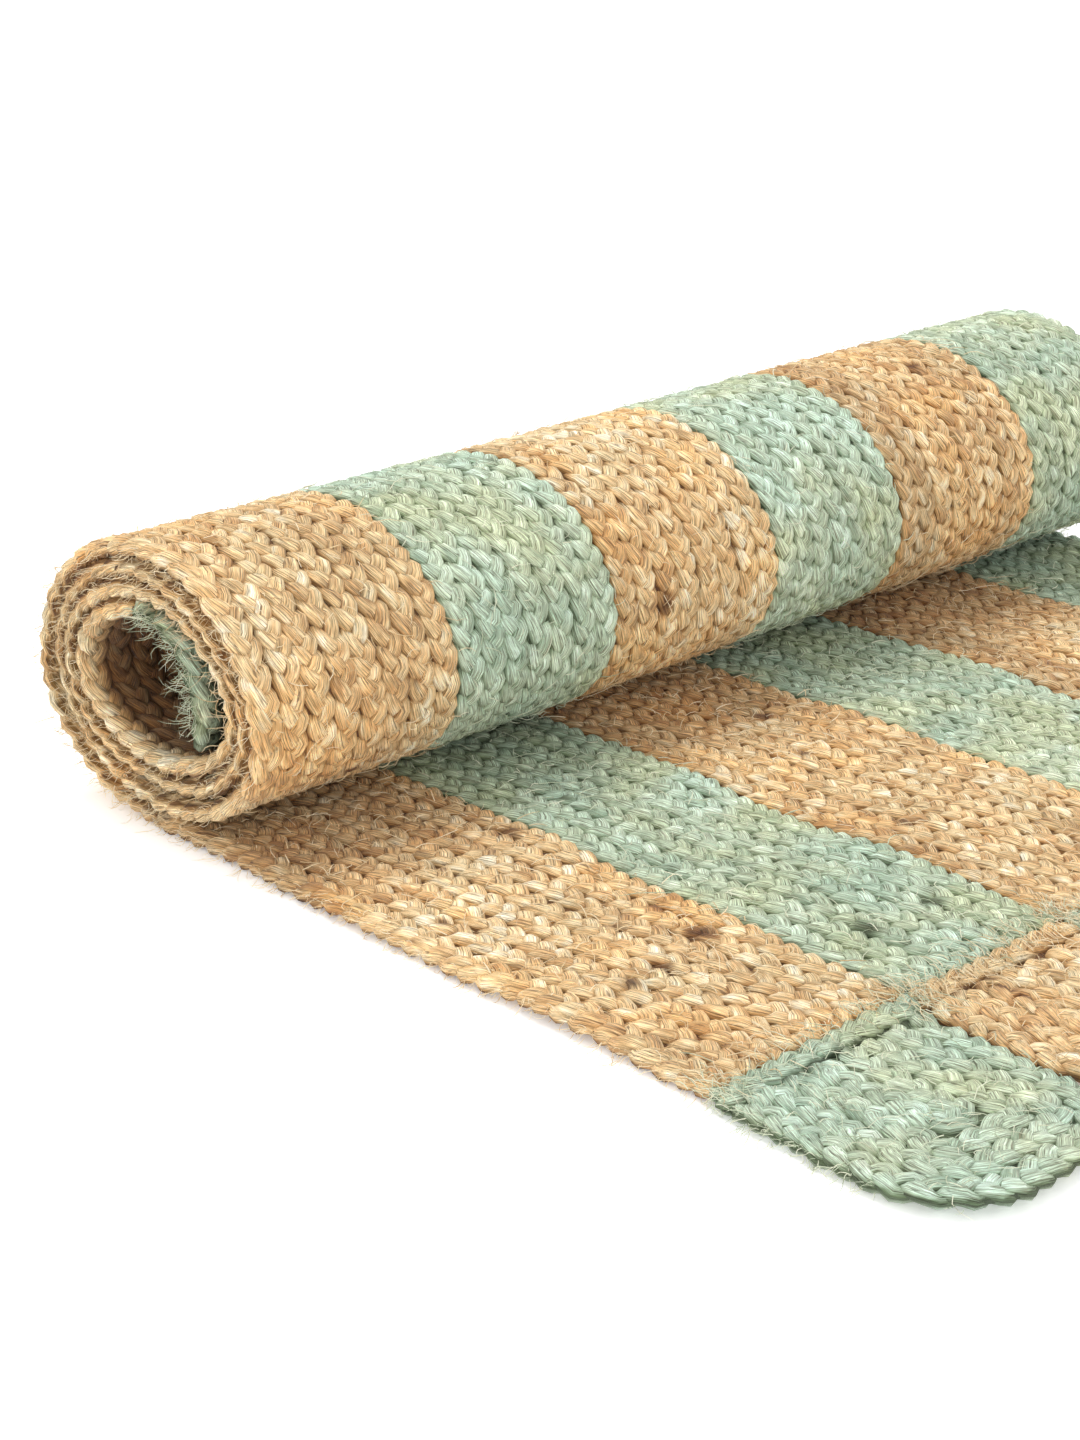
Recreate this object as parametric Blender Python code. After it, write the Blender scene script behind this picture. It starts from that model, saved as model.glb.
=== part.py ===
"""Braided jute runner rug, part unrolled on the floor.

Six long stripes of plaited jute, natural and green in turn, are sewn side by side. A short tab
of the other colour is sewn to each end of each stripe. One end lies flat, and the other is
wound into a loose oval roll that rests on the flat run, with its last tabs hanging in the core.

Frame: +X along the roll, the flat run towards -Y, +Z up, origin under the middle of the rug.
"""
import bpy
import bmesh
import math

# Cloth, in metres
THICKNESS = 0.008
NATURAL_WIDTH = 0.1068
GREEN_WIDTH = 0.0932
SEWN_GAP = 0.0003
GREEN_FLAT_TAB_LENGTH = 0.118
NATURAL_FLAT_TAB_LENGTH = 0.100
WOUND_TAB_LENGTH = 0.100
TAB_CORNER = 0.038
FLAT_RUN = 0.3245

# Roll: the centre line of the cloth, an egg-shaped spiral that starts under the roll's middle
ROLL_HALF_WIDTH = 0.0784
ROLL_HALF_HEIGHT = 0.0621
WINDING_PITCH = 0.0090
CORE_RISE = 0.0004
EGG = 0.08

# Facets: each turn has its corners in line with those of the turn before
STEPS_PER_TURN = 32
WOUND_STEPS = 111
WOUND_TURNS = WOUND_STEPS / STEPS_PER_TURN
FLAT_STEPS = 12
ROUTE_STEPS = 14
CORNER_STEPS = 6

NATURAL = (0.62, 0.43, 0.22)
GREEN = (0.40, 0.52, 0.36)

# Colour of the stripe, colour of its two tabs, width, near edge of the rug first
STRIPES = (
    (NATURAL, GREEN, NATURAL_WIDTH),
    (GREEN, NATURAL, GREEN_WIDTH),
    (NATURAL, GREEN, NATURAL_WIDTH),
    (GREEN, NATURAL, GREEN_WIDTH),
    (NATURAL, GREEN, NATURAL_WIDTH),
    (GREEN, NATURAL, GREEN_WIDTH),
)

# Each line where two stripes meet, and the two outer edges:
# sideways wave, its length along the cloth, its phase in turns, how far the roll leans back there
SEAM_LINES = (
    (0.0010, 0.260, 0.10, 0.0000),
    (0.0018, 0.230, 0.35, -0.0012),
    (0.0022, 0.190, 0.00, -0.0020),
    (0.0020, 0.240, 0.60, -0.0010),
    (0.0016, 0.210, 0.25, 0.0006),
    (0.0018, 0.250, 0.80, 0.0012),
    (0.0010, 0.220, 0.45, 0.0004),
)

# How far the flat tabs' sides step sideways of those lines, and how soon past the seam
TAB_STEPS = (-0.0030, -0.0080, 0.0, 0.0, 0.0, 0.0, 0.0030)
TAB_STEP_LENGTH = 0.020

# Soft humps of the flat run: middle and half length, measured from the seam of the flat tabs
# towards the roll, then height at the near edge and at the far edge of the rug
HUMPS = (
    (-0.112, 0.045, 0.0022, 0.0012),
    (0.085, 0.055, 0.0020, 0.0030),
    (0.190, 0.045, 0.0012, 0.0026),
)

# The wound tabs hang from the last turn into the core: points of their centre line (y, z)
# from the roll's middle and the floor
HANGING = (
    (-0.0060, 0.0945),
    (-0.0220, 0.0860),
    (-0.0290, 0.0700),
    (-0.0300, 0.0560),
    (-0.0250, 0.0460),
    (-0.0150, 0.0415),
    (-0.0010, 0.0414),
)


def wound(turns):
    """Centre line of the roll (y, z), so many turns after the point under its middle."""
    angle = 2 * math.pi * turns
    half_width = ROLL_HALF_WIDTH - WINDING_PITCH * turns
    half_height = ROLL_HALF_HEIGHT - WINDING_PITCH * turns
    axis_height = THICKNESS / 2 + ROLL_HALF_HEIGHT + CORE_RISE * turns
    y = half_width * math.sin(angle) * (1 + EGG * math.cos(angle))
    return y, axis_height - half_height * math.cos(angle)


def smooth_route(points, steps):
    """Points on one smooth curve through all of these (y, z) points, evenly many between each two."""
    ends = [tuple(2 * a - b for a, b in zip(points[0], points[1]))]
    tail = [tuple(2 * a - b for a, b in zip(points[-1], points[-2]))]
    held = ends + list(points) + tail
    route = []
    for i in range(1, len(held) - 2):
        for k in range(steps):
            t = k / steps
            weights = (
                (-t + 2 * t**2 - t**3) / 2,
                (2 - 5 * t**2 + 3 * t**3) / 2,
                (t + 4 * t**2 - 3 * t**3) / 2,
                (t**3 - t**2) / 2,
            )
            nearby = held[i - 1 : i + 3]
            route.append(tuple(sum(w * p[a] for w, p in zip(weights, nearby)) for a in (0, 1)))
    return route + [points[-1]]


def lengths_along(route):
    found = [0.0]
    for a, b in zip(route, route[1:]):
        found.append(found[-1] + math.dist(a, b))
    return found


def point_at(route, lengths, distance):
    """The point so far along a fine route."""
    i = 0
    while i < len(route) - 2 and lengths[i + 1] < distance:
        i += 1
    share = (distance - lengths[i]) / (lengths[i + 1] - lengths[i])
    return tuple(a + share * (b - a) for a, b in zip(route[i], route[i + 1]))


def hump_height(run, share):
    """Lift of the flat cloth at this distance from the seam, share 0 at the near edge, 1 at the far."""
    lift = 0.0
    for middle, half_length, near, far in HUMPS:
        reach = min(abs(run - middle) / half_length, 1.0)
        lift += (near + share * (far - near)) * (0.5 + 0.5 * math.cos(math.pi * reach))
    return lift


def seam_line_x(line, run):
    """Where a seam line or an outer edge lies across the rug, so far along the cloth."""
    wave, length, phase, _ = SEAM_LINES[line]
    width_before = sum(stripe[2] for stripe in STRIPES[:line])
    whole = sum(stripe[2] for stripe in STRIPES)
    past_seam = min(max(-run / TAB_STEP_LENGTH, 0.0), 1.0)
    step = TAB_STEPS[line] * past_seam
    return width_before - whole / 2 + wave * math.sin(2 * math.pi * (run / length + phase)) + step


def corner_inset(to_end):
    """How much a tab's rounded corner draws its side in, this far from its end."""
    if to_end >= TAB_CORNER:
        return 0.0
    return TAB_CORNER - math.sqrt(max(TAB_CORNER**2 - (TAB_CORNER - to_end) ** 2, 0.0))


def upper_side(before, after):
    """The unit normal of the cloth's upper side where its centre line goes from before to after."""
    span = math.dist(before, after)
    return -(after[1] - before[1]) / span, (after[0] - before[0]) / span


def directions(route):
    """The normals at each point of a route."""
    wide = [route[0]] + list(route) + [route[-1]]
    return [upper_side(before, after) for before, after in zip(wide, wide[2:])]


def wound_end_direction():
    """The normal at the end of the last turn, where the wound tabs are sewn on."""
    return upper_side(wound(WOUND_TURNS - 0.001), wound(WOUND_TURNS + 0.001))


def make_cloth(name, colour, stripe, route, normals, runs, rolled, insets):
    """One piece of cloth along a route: runs are distances along the rug, rolled is 0 flat, 1 wound."""
    bm = bmesh.new()
    rings = []
    lines = len(SEAM_LINES) - 1
    for (y, z), (ny, nz), run, wound_in, inset in zip(route, normals, runs, rolled, insets):
        sides = []
        for line, inward in ((stripe, 1), (stripe + 1, -1)):
            x = seam_line_x(line, run) + inward * (SEWN_GAP / 2 + inset)
            lean = SEAM_LINES[line][3] * wound_in
            lift = hump_height(run, line / lines)
            sides.append((x, y + lean, z + lift))
        ring = []
        for side, face in ((0, -1), (1, -1), (1, 1), (0, 1)):
            x, cy, cz = sides[side]
            half = face * THICKNESS / 2
            ring.append(bm.verts.new((x, cy + half * ny, cz + half * nz)))
        rings.append(ring)
    for a, b in zip(rings, rings[1:]):
        for k in range(4):
            n = (k + 1) % 4
            bm.faces.new((a[k], b[k], b[n], a[n]))
    bm.faces.new(rings[0])
    bm.faces.new(rings[-1])
    bmesh.ops.recalc_face_normals(bm, faces=bm.faces)
    mesh = bpy.data.meshes.new(name)
    bm.to_mesh(mesh)
    bm.free()
    mesh.materials.append(jute(name + "_jute", colour))
    mesh.shade_smooth()
    mesh.set_sharp_from_angle(angle=math.radians(30))
    piece = bpy.data.objects.new(name, mesh)
    bpy.context.scene.collection.objects.link(piece)
    return piece


def jute(name, colour):
    material = bpy.data.materials.new(name)
    material.use_nodes = True
    shader = material.node_tree.nodes["Principled BSDF"]
    shader.inputs["Base Color"].default_value = (*colour, 1.0)
    shader.inputs["Roughness"].default_value = 0.85
    shader.inputs["Metallic"].default_value = 0.0
    return material


def stripe_route():
    """The long stripes: along the floor to the roll's middle, then round and round.

    Gives the centre line, the distance of each point from the flat tabs' seam, and how far it
    shares in the roll's lean.
    """
    flat_step = (FLAT_RUN - SEWN_GAP / 2) / FLAT_STEPS
    route = [(flat_step * i - flat_step * FLAT_STEPS, THICKNESS / 2) for i in range(FLAT_STEPS)]
    turns = [i / STEPS_PER_TURN for i in range(WOUND_STEPS + 1)]
    route += [wound(t) for t in turns]
    rolled = [0.0] * FLAT_STEPS + [ramp(t) for t in turns]
    runs = [SEWN_GAP / 2 + length for length in lengths_along(route)]
    return route, runs, rolled


def make_stripe(stripe, colour):
    route, runs, rolled = stripe_route()
    normals = directions(route)[:-1] + [wound_end_direction()]
    make_cloth(f"stripe_{stripe + 1}", colour, stripe, route, normals, runs, rolled, [0.0] * len(runs))


def ramp(turns):
    """0 where the cloth leaves the floor, 1 a quarter turn later."""
    share = min(turns / 0.25, 1.0)
    return share * share * (3 - 2 * share)


def tab_distances(length):
    """Distances from the seam at which a tab has a section, close together at its round corners."""
    distances = [SEWN_GAP / 2 + (length - TAB_CORNER) * i / 4 for i in range(4)]
    for i in range(CORNER_STEPS + 1):
        angle = math.pi / 2 * i / CORNER_STEPS
        distances.append(length - TAB_CORNER * (1 - math.sin(angle)))
    return distances


def make_flat_tab(stripe, colour):
    length = GREEN_FLAT_TAB_LENGTH if colour == GREEN else NATURAL_FLAT_TAB_LENGTH
    distances = tab_distances(length)
    route = [(-FLAT_RUN - d, THICKNESS / 2) for d in reversed(distances)]
    runs = [-d for d in reversed(distances)]
    insets = [corner_inset(length - d) for d in reversed(distances)]
    level = [0.0] * len(runs)
    make_cloth(f"flat_tab_{stripe + 1}", colour, stripe, route, directions(route), runs, level, insets)


def make_wound_tab(stripe, colour):
    """A tab that goes on from the last turn and hangs into the core."""
    route = smooth_route([wound(WOUND_TURNS)] + list(HANGING), ROUTE_STEPS)
    last_run = stripe_route()[1][-1]
    lengths = lengths_along(route)
    near = [SEWN_GAP + (WOUND_TAB_LENGTH - TAB_CORNER) * i / ROUTE_STEPS for i in range(ROUTE_STEPS)]
    distances = near + tab_distances(WOUND_TAB_LENGTH)[4:]
    points = [point_at(route, lengths, d) for d in distances]
    runs = [last_run + d for d in distances]
    insets = [corner_inset(WOUND_TAB_LENGTH - d) for d in distances]
    normals = [wound_end_direction()] + directions(points)[1:]
    wound_in = [1.0] * len(runs)
    make_cloth(f"wound_tab_{stripe + 1}", colour, stripe, points, normals, runs, wound_in, insets)


def centre_on_origin(pieces):
    """Puts the middle of the rug's box over the origin, with its underside at height 0."""
    bpy.context.view_layer.update()
    corners = [vertex.co for piece in pieces for vertex in piece.data.vertices]
    middle_x = (min(c.x for c in corners) + max(c.x for c in corners)) / 2
    middle_y = (min(c.y for c in corners) + max(c.y for c in corners)) / 2
    for piece in pieces:
        piece.location = (-middle_x, -middle_y, 0.0)


for old in list(bpy.data.objects):
    bpy.data.objects.remove(old)

for index, (stripe_colour, tab_colour, _) in enumerate(STRIPES):
    make_stripe(index, stripe_colour)
    make_flat_tab(index, tab_colour)
    make_wound_tab(index, tab_colour)

centre_on_origin(list(bpy.context.scene.collection.objects))
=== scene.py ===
"""Looks of the braided jute runner rug: plaits, sewn tabs, stray fibres, floor, light and camera."""

import bmesh
import bpy
import math
import numpy as np
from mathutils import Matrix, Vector


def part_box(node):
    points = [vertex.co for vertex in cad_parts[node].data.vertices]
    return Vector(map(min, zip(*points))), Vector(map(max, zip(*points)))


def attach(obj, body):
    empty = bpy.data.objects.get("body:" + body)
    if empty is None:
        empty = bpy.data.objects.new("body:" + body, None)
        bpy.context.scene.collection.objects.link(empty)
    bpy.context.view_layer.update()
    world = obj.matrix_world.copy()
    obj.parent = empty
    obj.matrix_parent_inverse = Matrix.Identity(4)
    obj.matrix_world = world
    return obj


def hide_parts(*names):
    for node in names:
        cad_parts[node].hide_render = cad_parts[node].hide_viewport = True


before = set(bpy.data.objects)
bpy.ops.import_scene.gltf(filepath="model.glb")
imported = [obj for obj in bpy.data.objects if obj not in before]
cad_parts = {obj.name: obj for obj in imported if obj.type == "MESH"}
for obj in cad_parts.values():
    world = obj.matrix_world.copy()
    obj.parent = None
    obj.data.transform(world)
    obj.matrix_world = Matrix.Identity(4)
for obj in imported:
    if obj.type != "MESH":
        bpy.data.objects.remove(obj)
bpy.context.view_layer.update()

# ---------------------------------------------------------------- the rug's own sizes, in metres
# A run is a distance along the cloth from the flat tabs' seam, and goes below 0 in the flat tabs.
THICKNESS = 0.008
NATURAL_WIDTH = 0.1068
GREEN_WIDTH = 0.0932
SEWN_GAP = 0.0003
GREEN_FLAT_TAB_LENGTH = 0.118
NATURAL_FLAT_TAB_LENGTH = 0.100
WOUND_TAB_LENGTH = 0.100
TAB_CORNER = 0.038
STRIPE_COUNT = 6

# How far the flat tabs' side lines step sideways at their seam, and over what length
TAB_STEPS = (-0.0030, -0.0080, 0.0, 0.0, 0.0, 0.0, 0.0030)
TAB_STEP_LENGTH = 0.020

# The flat run before the roll, the roll's half sizes, then for each turn of the winding the room it
# takes and how much its axis rises. EGG is how much fuller the roll's lower half is.
FLAT_RUN = 0.3245
ROLL_HALF_WIDTH = 0.0784
ROLL_HALF_HEIGHT = 0.0621
WINDING_PITCH = 0.0090
CORE_RISE = 0.0004
EGG = 0.08
WOUND_TURNS = 111 / 32

# The stripes' side lines: height, length and phase of their waves, and how far the roll leans there
SEAM_LINES = (
    (0.0010, 0.260, 0.10, 0.0000),
    (0.0018, 0.230, 0.35, -0.0012),
    (0.0022, 0.190, 0.00, -0.0020),
    (0.0020, 0.240, 0.60, -0.0010),
    (0.0016, 0.210, 0.25, 0.0006),
    (0.0018, 0.250, 0.80, 0.0012),
    (0.0010, 0.220, 0.45, 0.0004),
)

# Where the cloth lifts off the floor: run, half length, and height at the rug's near and far side
HUMPS = (
    (-0.112, 0.045, 0.0022, 0.0012),
    (0.085, 0.055, 0.0020, 0.0030),
    (0.190, 0.045, 0.0012, 0.0026),
)

# The wound tabs' way down into the roll's core, as y and z after the winding's own end
HANGING = (
    (-0.0060, 0.0945),
    (-0.0220, 0.0860),
    (-0.0290, 0.0700),
    (-0.0300, 0.0560),
    (-0.0250, 0.0460),
    (-0.0150, 0.0415),
    (-0.0010, 0.0414),
)

# How finely the path is followed: points of the flat part, the winding and each stretch that hangs.
# The path goes on past the flat tabs' ends, and its slope is smoothed over a few points.
FLAT_POINTS = 200
WINDING_POINTS = 1600
HANGING_POINTS = 40
PATH_MARGIN = 0.02
SLOPE_WINDOW = 13

# Turns of the winding where the outer turn goes out of sight, and where the core comes into sight
FIRST_TURN = 1.12
INNER_TURN = 2.35

# ---------------------------------------------------------------- plaits
NATURAL_PLAITS = 8
GREEN_PLAITS = 7
PLAIT_PITCH = 0.01333
STRAND_PERIOD = 0.0302
SIDEWAYS_SWING = 0.0039
HEIGHT_SWING = 0.0013
STRAND_HALF_WIDTH = 0.0042
STRAND_HALF_THICKNESS = 0.0024
STRAND_TILT = 0.30
STRAND_END = 0.0015
CROSSING_FLATNESS = 1.8
RING_FLATNESS = 0.6
OUTER_NARROWING = 0.08
OUTER_THICKENING = 0.10
EDGE_FULLNESS = 1.22
PERIOD_SPREAD = 0.03

# Unevenness of a plait and of its strands: wavelength along it, and amount
WANDER = (0.11, 0.00055)
RISE = (0.07, 0.00018)
PACE = (0.09, 0.42)
LAG = (0.05, 0.12)
SWING_CHANGE = (0.04, 0.08)
WIDTH_CHANGE = (0.023, 0.11)
THICKNESS_CHANGE = (0.031, 0.05)

# Where only one face shows, a strand is built where the sine of twice its swing is over SHOWING,
# and from it only this part of its ring
SHOWING = -0.60
RING_START = math.radians(-8)
RING_END = math.radians(188)

# Rings along a strand, coarser in the core and in the wound tabs, and points round it
STEP = STRAND_PERIOD / 11.5
COARSE_STEP = STRAND_PERIOD / 8
WHOLE_SIDES = 8
WOUND_TAB_SIDES = 6
FACE_SIDES = 7
TAB_FACE_SIDES = 6
CORE_SIDES = 5

# How far plaits run past the stripes' seams, past the start of the roll, and into the corner under it
SEAM_OVERLAP = 0.0012
ROLL_OVERLAP = 0.004
CORNER_OVERLAP = 0.01

# A tab's seam row runs past its sides and sits a little into the seam; its hairpins start on that row
ROW_OVERLAP = 0.0010
ROW_INSET = 0.0004
HAIRPIN_OVERLAP = 0.0022
SHARPEST_HAIRPIN = 0.30

# Painted shade in the creases: how far round a strand its flanks start, and on the rug's edge the height
# where turns meet
FLANK_START = 0.81
EDGE_CREASE_START = 0.0013
EDGE_CREASE_LENGTH = 0.0017
EDGE_REACH = 0.005
OPEN_CREASE = 0.30

# Fibre coordinates are in centimetres
PER_METRE = 100

# ---------------------------------------------------------------- the thin sheet between the plaits' faces
SHEET_HALF_THICKNESS = 0.0009
SHEET_COLUMNS = 4
SHEET_INSET = 0.0012
SHEET_START = 0.0004
FLAT_ROWS = 36
ROLL_ROWS = 190
TAB_ROWS = 9
CORNER_ROWS = 10

# ---------------------------------------------------------------- loose fibres
# How far off the middle layer they start, how low they may lie, and how much they and threads curl
FIBRE_START = 0.0034
LOWEST_FIBRE = 0.0004
FIBRE_POINTS = 4
FREE_CURL = 1.1
THREAD_CURL = 0.25

# Fibres per square decimetre of a face
FLAT_DENSITY = 190
ROLL_DENSITY = 130
FLAT_TAB_DENSITY = 210
WOUND_TAB_DENSITY = 40

# Fibres in all at each seam, and on each outer edge of the rug
STRIPE_SEAM_FIBRES = 110
TAB_SEAM_FIBRES = 150
SEAM_ROW_FIBRES = 60
STRIPE_EDGE_FIBRES = 2100
FLAT_TAB_EDGE_FIBRES = 150
WOUND_TAB_EDGE_FIBRES = 260

# ---------------------------------------------------------------- duller places: painted shade, darker knots and plaits
# How much painted shadow the roll casts on the cloth beside it, and where along it that starts and ends,
# then the same for the painted shade in the roll's core, where it starts a little way in from the rug's
# edge; then knots, which are darker in colour, and the painted shade along grooves
NIP_SHADE = 0.34
NIP_SHADE_START = 0.150
NIP_SHADE_LENGTH = 0.075
NIP_SHADE_PAST = 0.02
CORE_SHADE = 0.88
CORE_SHADE_LENGTH = 0.03
CORE_SHADE_EDGE = 0.001
CORE_SHADE_DEPTH = 0.013
KNOT_SHADE = 0.96
GROOVE_SHADE = 0.90

# Dark knots: stripe, then across it, run and size
KNOTS = (
    (1, 0.066, 0.110, 0.0035),
    (1, 0.054, 0.074, 0.0042),
    (1, 0.085, 0.083, 0.0067),
    (1, 0.035, 0.072, 0.0038),
    (1, 0.095, 0.207, 0.0054),
    (1, 0.091, 0.113, 0.0032),
    (1, 0.020, 0.160, 0.0032),
    (2, 0.029, 0.044, 0.0054),
    (2, 0.066, 0.043, 0.0048),
    (2, 0.030, 0.216, 0.0035),
    (3, 0.023, 0.097, 0.0042),
    (3, 0.050, 0.179, 0.0038),
    (3, 0.072, 0.223, 0.0048),
    (5, 0.040, 0.140, 0.0048),
    (6, 0.060, 0.200, 0.0042),
    (1, 0.060, 0.680, 0.0042),
    (3, 0.030, 0.640, 0.0048),
    (5, 0.070, 0.560, 0.0045),
    (2, 0.045, 0.700, 0.0035),
)

# Plaits duller than their neighbours: stripe, first and last as counts of plaits across it, and tone
DULL_PLAITS = (
    (1, 5, 6, 0.90),
    (3, 0, 1, 0.84),
    (3, 5, 6, 0.92),
    (5, 0, 2, 0.72),
    (5, 6, 7, 0.88),
    (2, 2, 3, 0.92),
    (4, 4, 5, 0.90),
    (6, 1, 2, 0.90),
)

# Painted shade along sewn grooves in the flat tabs: stripe, then across and run of both ends, and half
# width
GROOVES = (
    (1, 0.027, -0.0128, 0.070, -0.0128, 0.0013),
    (2, 0.012, -0.0132, 0.040, -0.0132, 0.0011),
    (2, 0.034, -0.0150, 0.034, -0.0360, 0.0011),
    (3, 0.030, -0.0128, 0.066, -0.0128, 0.0012),
    (4, 0.016, -0.0132, 0.050, -0.0132, 0.0011),
    (5, 0.026, -0.0128, 0.060, -0.0128, 0.0012),
)

# Everything random is drawn from this one generator, so the order of the draws matters
random = np.random.default_rng(7)


def is_natural(stripe, tab):
    return (stripe % 2 == 0) != tab


def stripe_width(stripe):
    return NATURAL_WIDTH if stripe % 2 == 0 else GREEN_WIDTH


def whole_width():
    return sum(stripe_width(s) for s in range(STRIPE_COUNT))


# ---------------------------------------------------------------- the cloth's path
def wound(turns):
    """The (y, z) points of the winding, which starts under the roll's middle, from turns along it."""
    angle = 2 * np.pi * turns
    half_width = ROLL_HALF_WIDTH - WINDING_PITCH * turns
    half_height = ROLL_HALF_HEIGHT - WINDING_PITCH * turns
    axis_height = THICKNESS / 2 + ROLL_HALF_HEIGHT + CORE_RISE * turns
    y = half_width * np.sin(angle) * (1 + EGG * np.cos(angle))
    return np.stack((y, axis_height - half_height * np.cos(angle)), -1)


def smooth_route(points, steps):
    """A Catmull-Rom curve through these (y, z) points, in equal steps from each to the next."""
    held = np.array([2 * points[0] - points[1], *points, 2 * points[-1] - points[-2]])
    t = np.linspace(0, 1, steps, endpoint=False)[:, None]
    route = []
    for a, b, c, d in zip(held, held[1:], held[2:], held[3:]):
        doubled = a * (-t + 2 * t**2 - t**3) + b * (2 - 5 * t**2 + 3 * t**3)
        doubled = doubled + c * (t + 4 * t**2 - 3 * t**3) + d * (t**3 - t**2)
        route.append(doubled / 2)
    return np.concatenate(route + [points[-1:]])


def make_path():
    """Columns run, y, z, normal y, normal z of the cloth's middle layer, flat tabs' ends first."""
    start = -FLAT_RUN - GREEN_FLAT_TAB_LENGTH - PATH_MARGIN
    flat = np.linspace(start, 0, FLAT_POINTS, endpoint=False)
    flat = np.stack((flat, np.full(len(flat), THICKNESS / 2)), -1)
    roll = wound(np.linspace(0, WOUND_TURNS, WINDING_POINTS))
    hanging = smooth_route(np.array([roll[-1], *HANGING]), HANGING_POINTS)[1:]
    points = np.concatenate((flat, roll, hanging))
    steps = np.linalg.norm(np.diff(points, axis=0), axis=1)
    run = np.concatenate(([0.0], np.cumsum(steps))) - GREEN_FLAT_TAB_LENGTH - PATH_MARGIN
    slope = np.gradient(points, run, axis=0)
    kernel = np.hanning(SLOPE_WINDOW)
    kernel /= kernel.sum()
    padded = np.pad(slope, ((SLOPE_WINDOW // 2,) * 2, (0, 0)), "edge")
    slope = np.stack([np.convolve(column, kernel, "valid") for column in padded.T], -1)
    slope /= np.linalg.norm(slope, axis=1)[:, None]
    seam_run = run[len(flat) + len(roll) - 1]
    return np.column_stack((run, points, -slope[:, 1], slope[:, 0])), seam_run


PATH, WOUND_SEAM_RUN = make_path()


def run_at_turns(turns):
    """How far along the cloth the winding has made this many turns."""
    fine = wound(np.linspace(0, turns, 400))
    return FLAT_RUN + np.linalg.norm(np.diff(fine, axis=0), axis=1).sum()


FIRST_TURN_RUN = run_at_turns(FIRST_TURN)
QUARTER_TURN_RUN = run_at_turns(0.25)
INNER_TURN_RUN = run_at_turns(INNER_TURN)


def smooth_step(value):
    """0 below 0, 1 above 1, and a smooth rise between them."""
    value = np.clip(value, 0, 1)
    return value * value * (3 - 2 * value)


def seam_line_x(line, run):
    """Where a side line of the stripes is, line 0 being the rug's near edge."""
    wave, length, phase, _ = SEAM_LINES[line]
    before = sum(stripe_width(s) for s in range(line))
    step = TAB_STEPS[line] * np.clip(-run / TAB_STEP_LENGTH, 0, 1)
    return before - whole_width() / 2 + wave * np.sin(2 * np.pi * (run / length + phase)) + step


def hump_height(run, share):
    """How far the cloth lifts off the floor, share of the way from the near side to the far side."""
    lift = 0.0
    for middle, half_length, near, far in HUMPS:
        reach = np.minimum(np.abs(run - middle) / half_length, 1.0)
        lift = lift + (near + share * (far - near)) * (0.5 + 0.5 * np.cos(np.pi * reach))
    return lift


def ramp(run):
    """How much of the roll's lean there is: none on the flat run, all of it after a quarter turn."""
    return smooth_step((run - FLAT_RUN) / (QUARTER_TURN_RUN - FLAT_RUN))


def cad_offset():
    """How far along Y the CAD model was moved to centre it, from where its first tab ends."""
    low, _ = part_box("flat_tab_1")
    return float(low[1] + FLAT_RUN + GREEN_FLAT_TAB_LENGTH)


OFFSET_Y = cad_offset()


def place(stripe, across, run, height):
    """Points of the rug from distances across a stripe, along the cloth and off its middle layer."""
    share = across / stripe_width(stripe)
    left = seam_line_x(stripe, run) + SEWN_GAP / 2
    right = seam_line_x(stripe + 1, run) - SEWN_GAP / 2
    lean = (SEAM_LINES[stripe][3] * (1 - share) + SEAM_LINES[stripe + 1][3] * share) * ramp(run)
    lift = hump_height(run, (stripe + share) / STRIPE_COUNT)
    y, z, ny, nz = (np.interp(run, PATH[:, 0], column) for column in PATH[:, 1:].T)
    x = left + share * (right - left)
    return np.stack((x, y + lean + height * ny + OFFSET_Y, z + lift + height * nz), -1)


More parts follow.
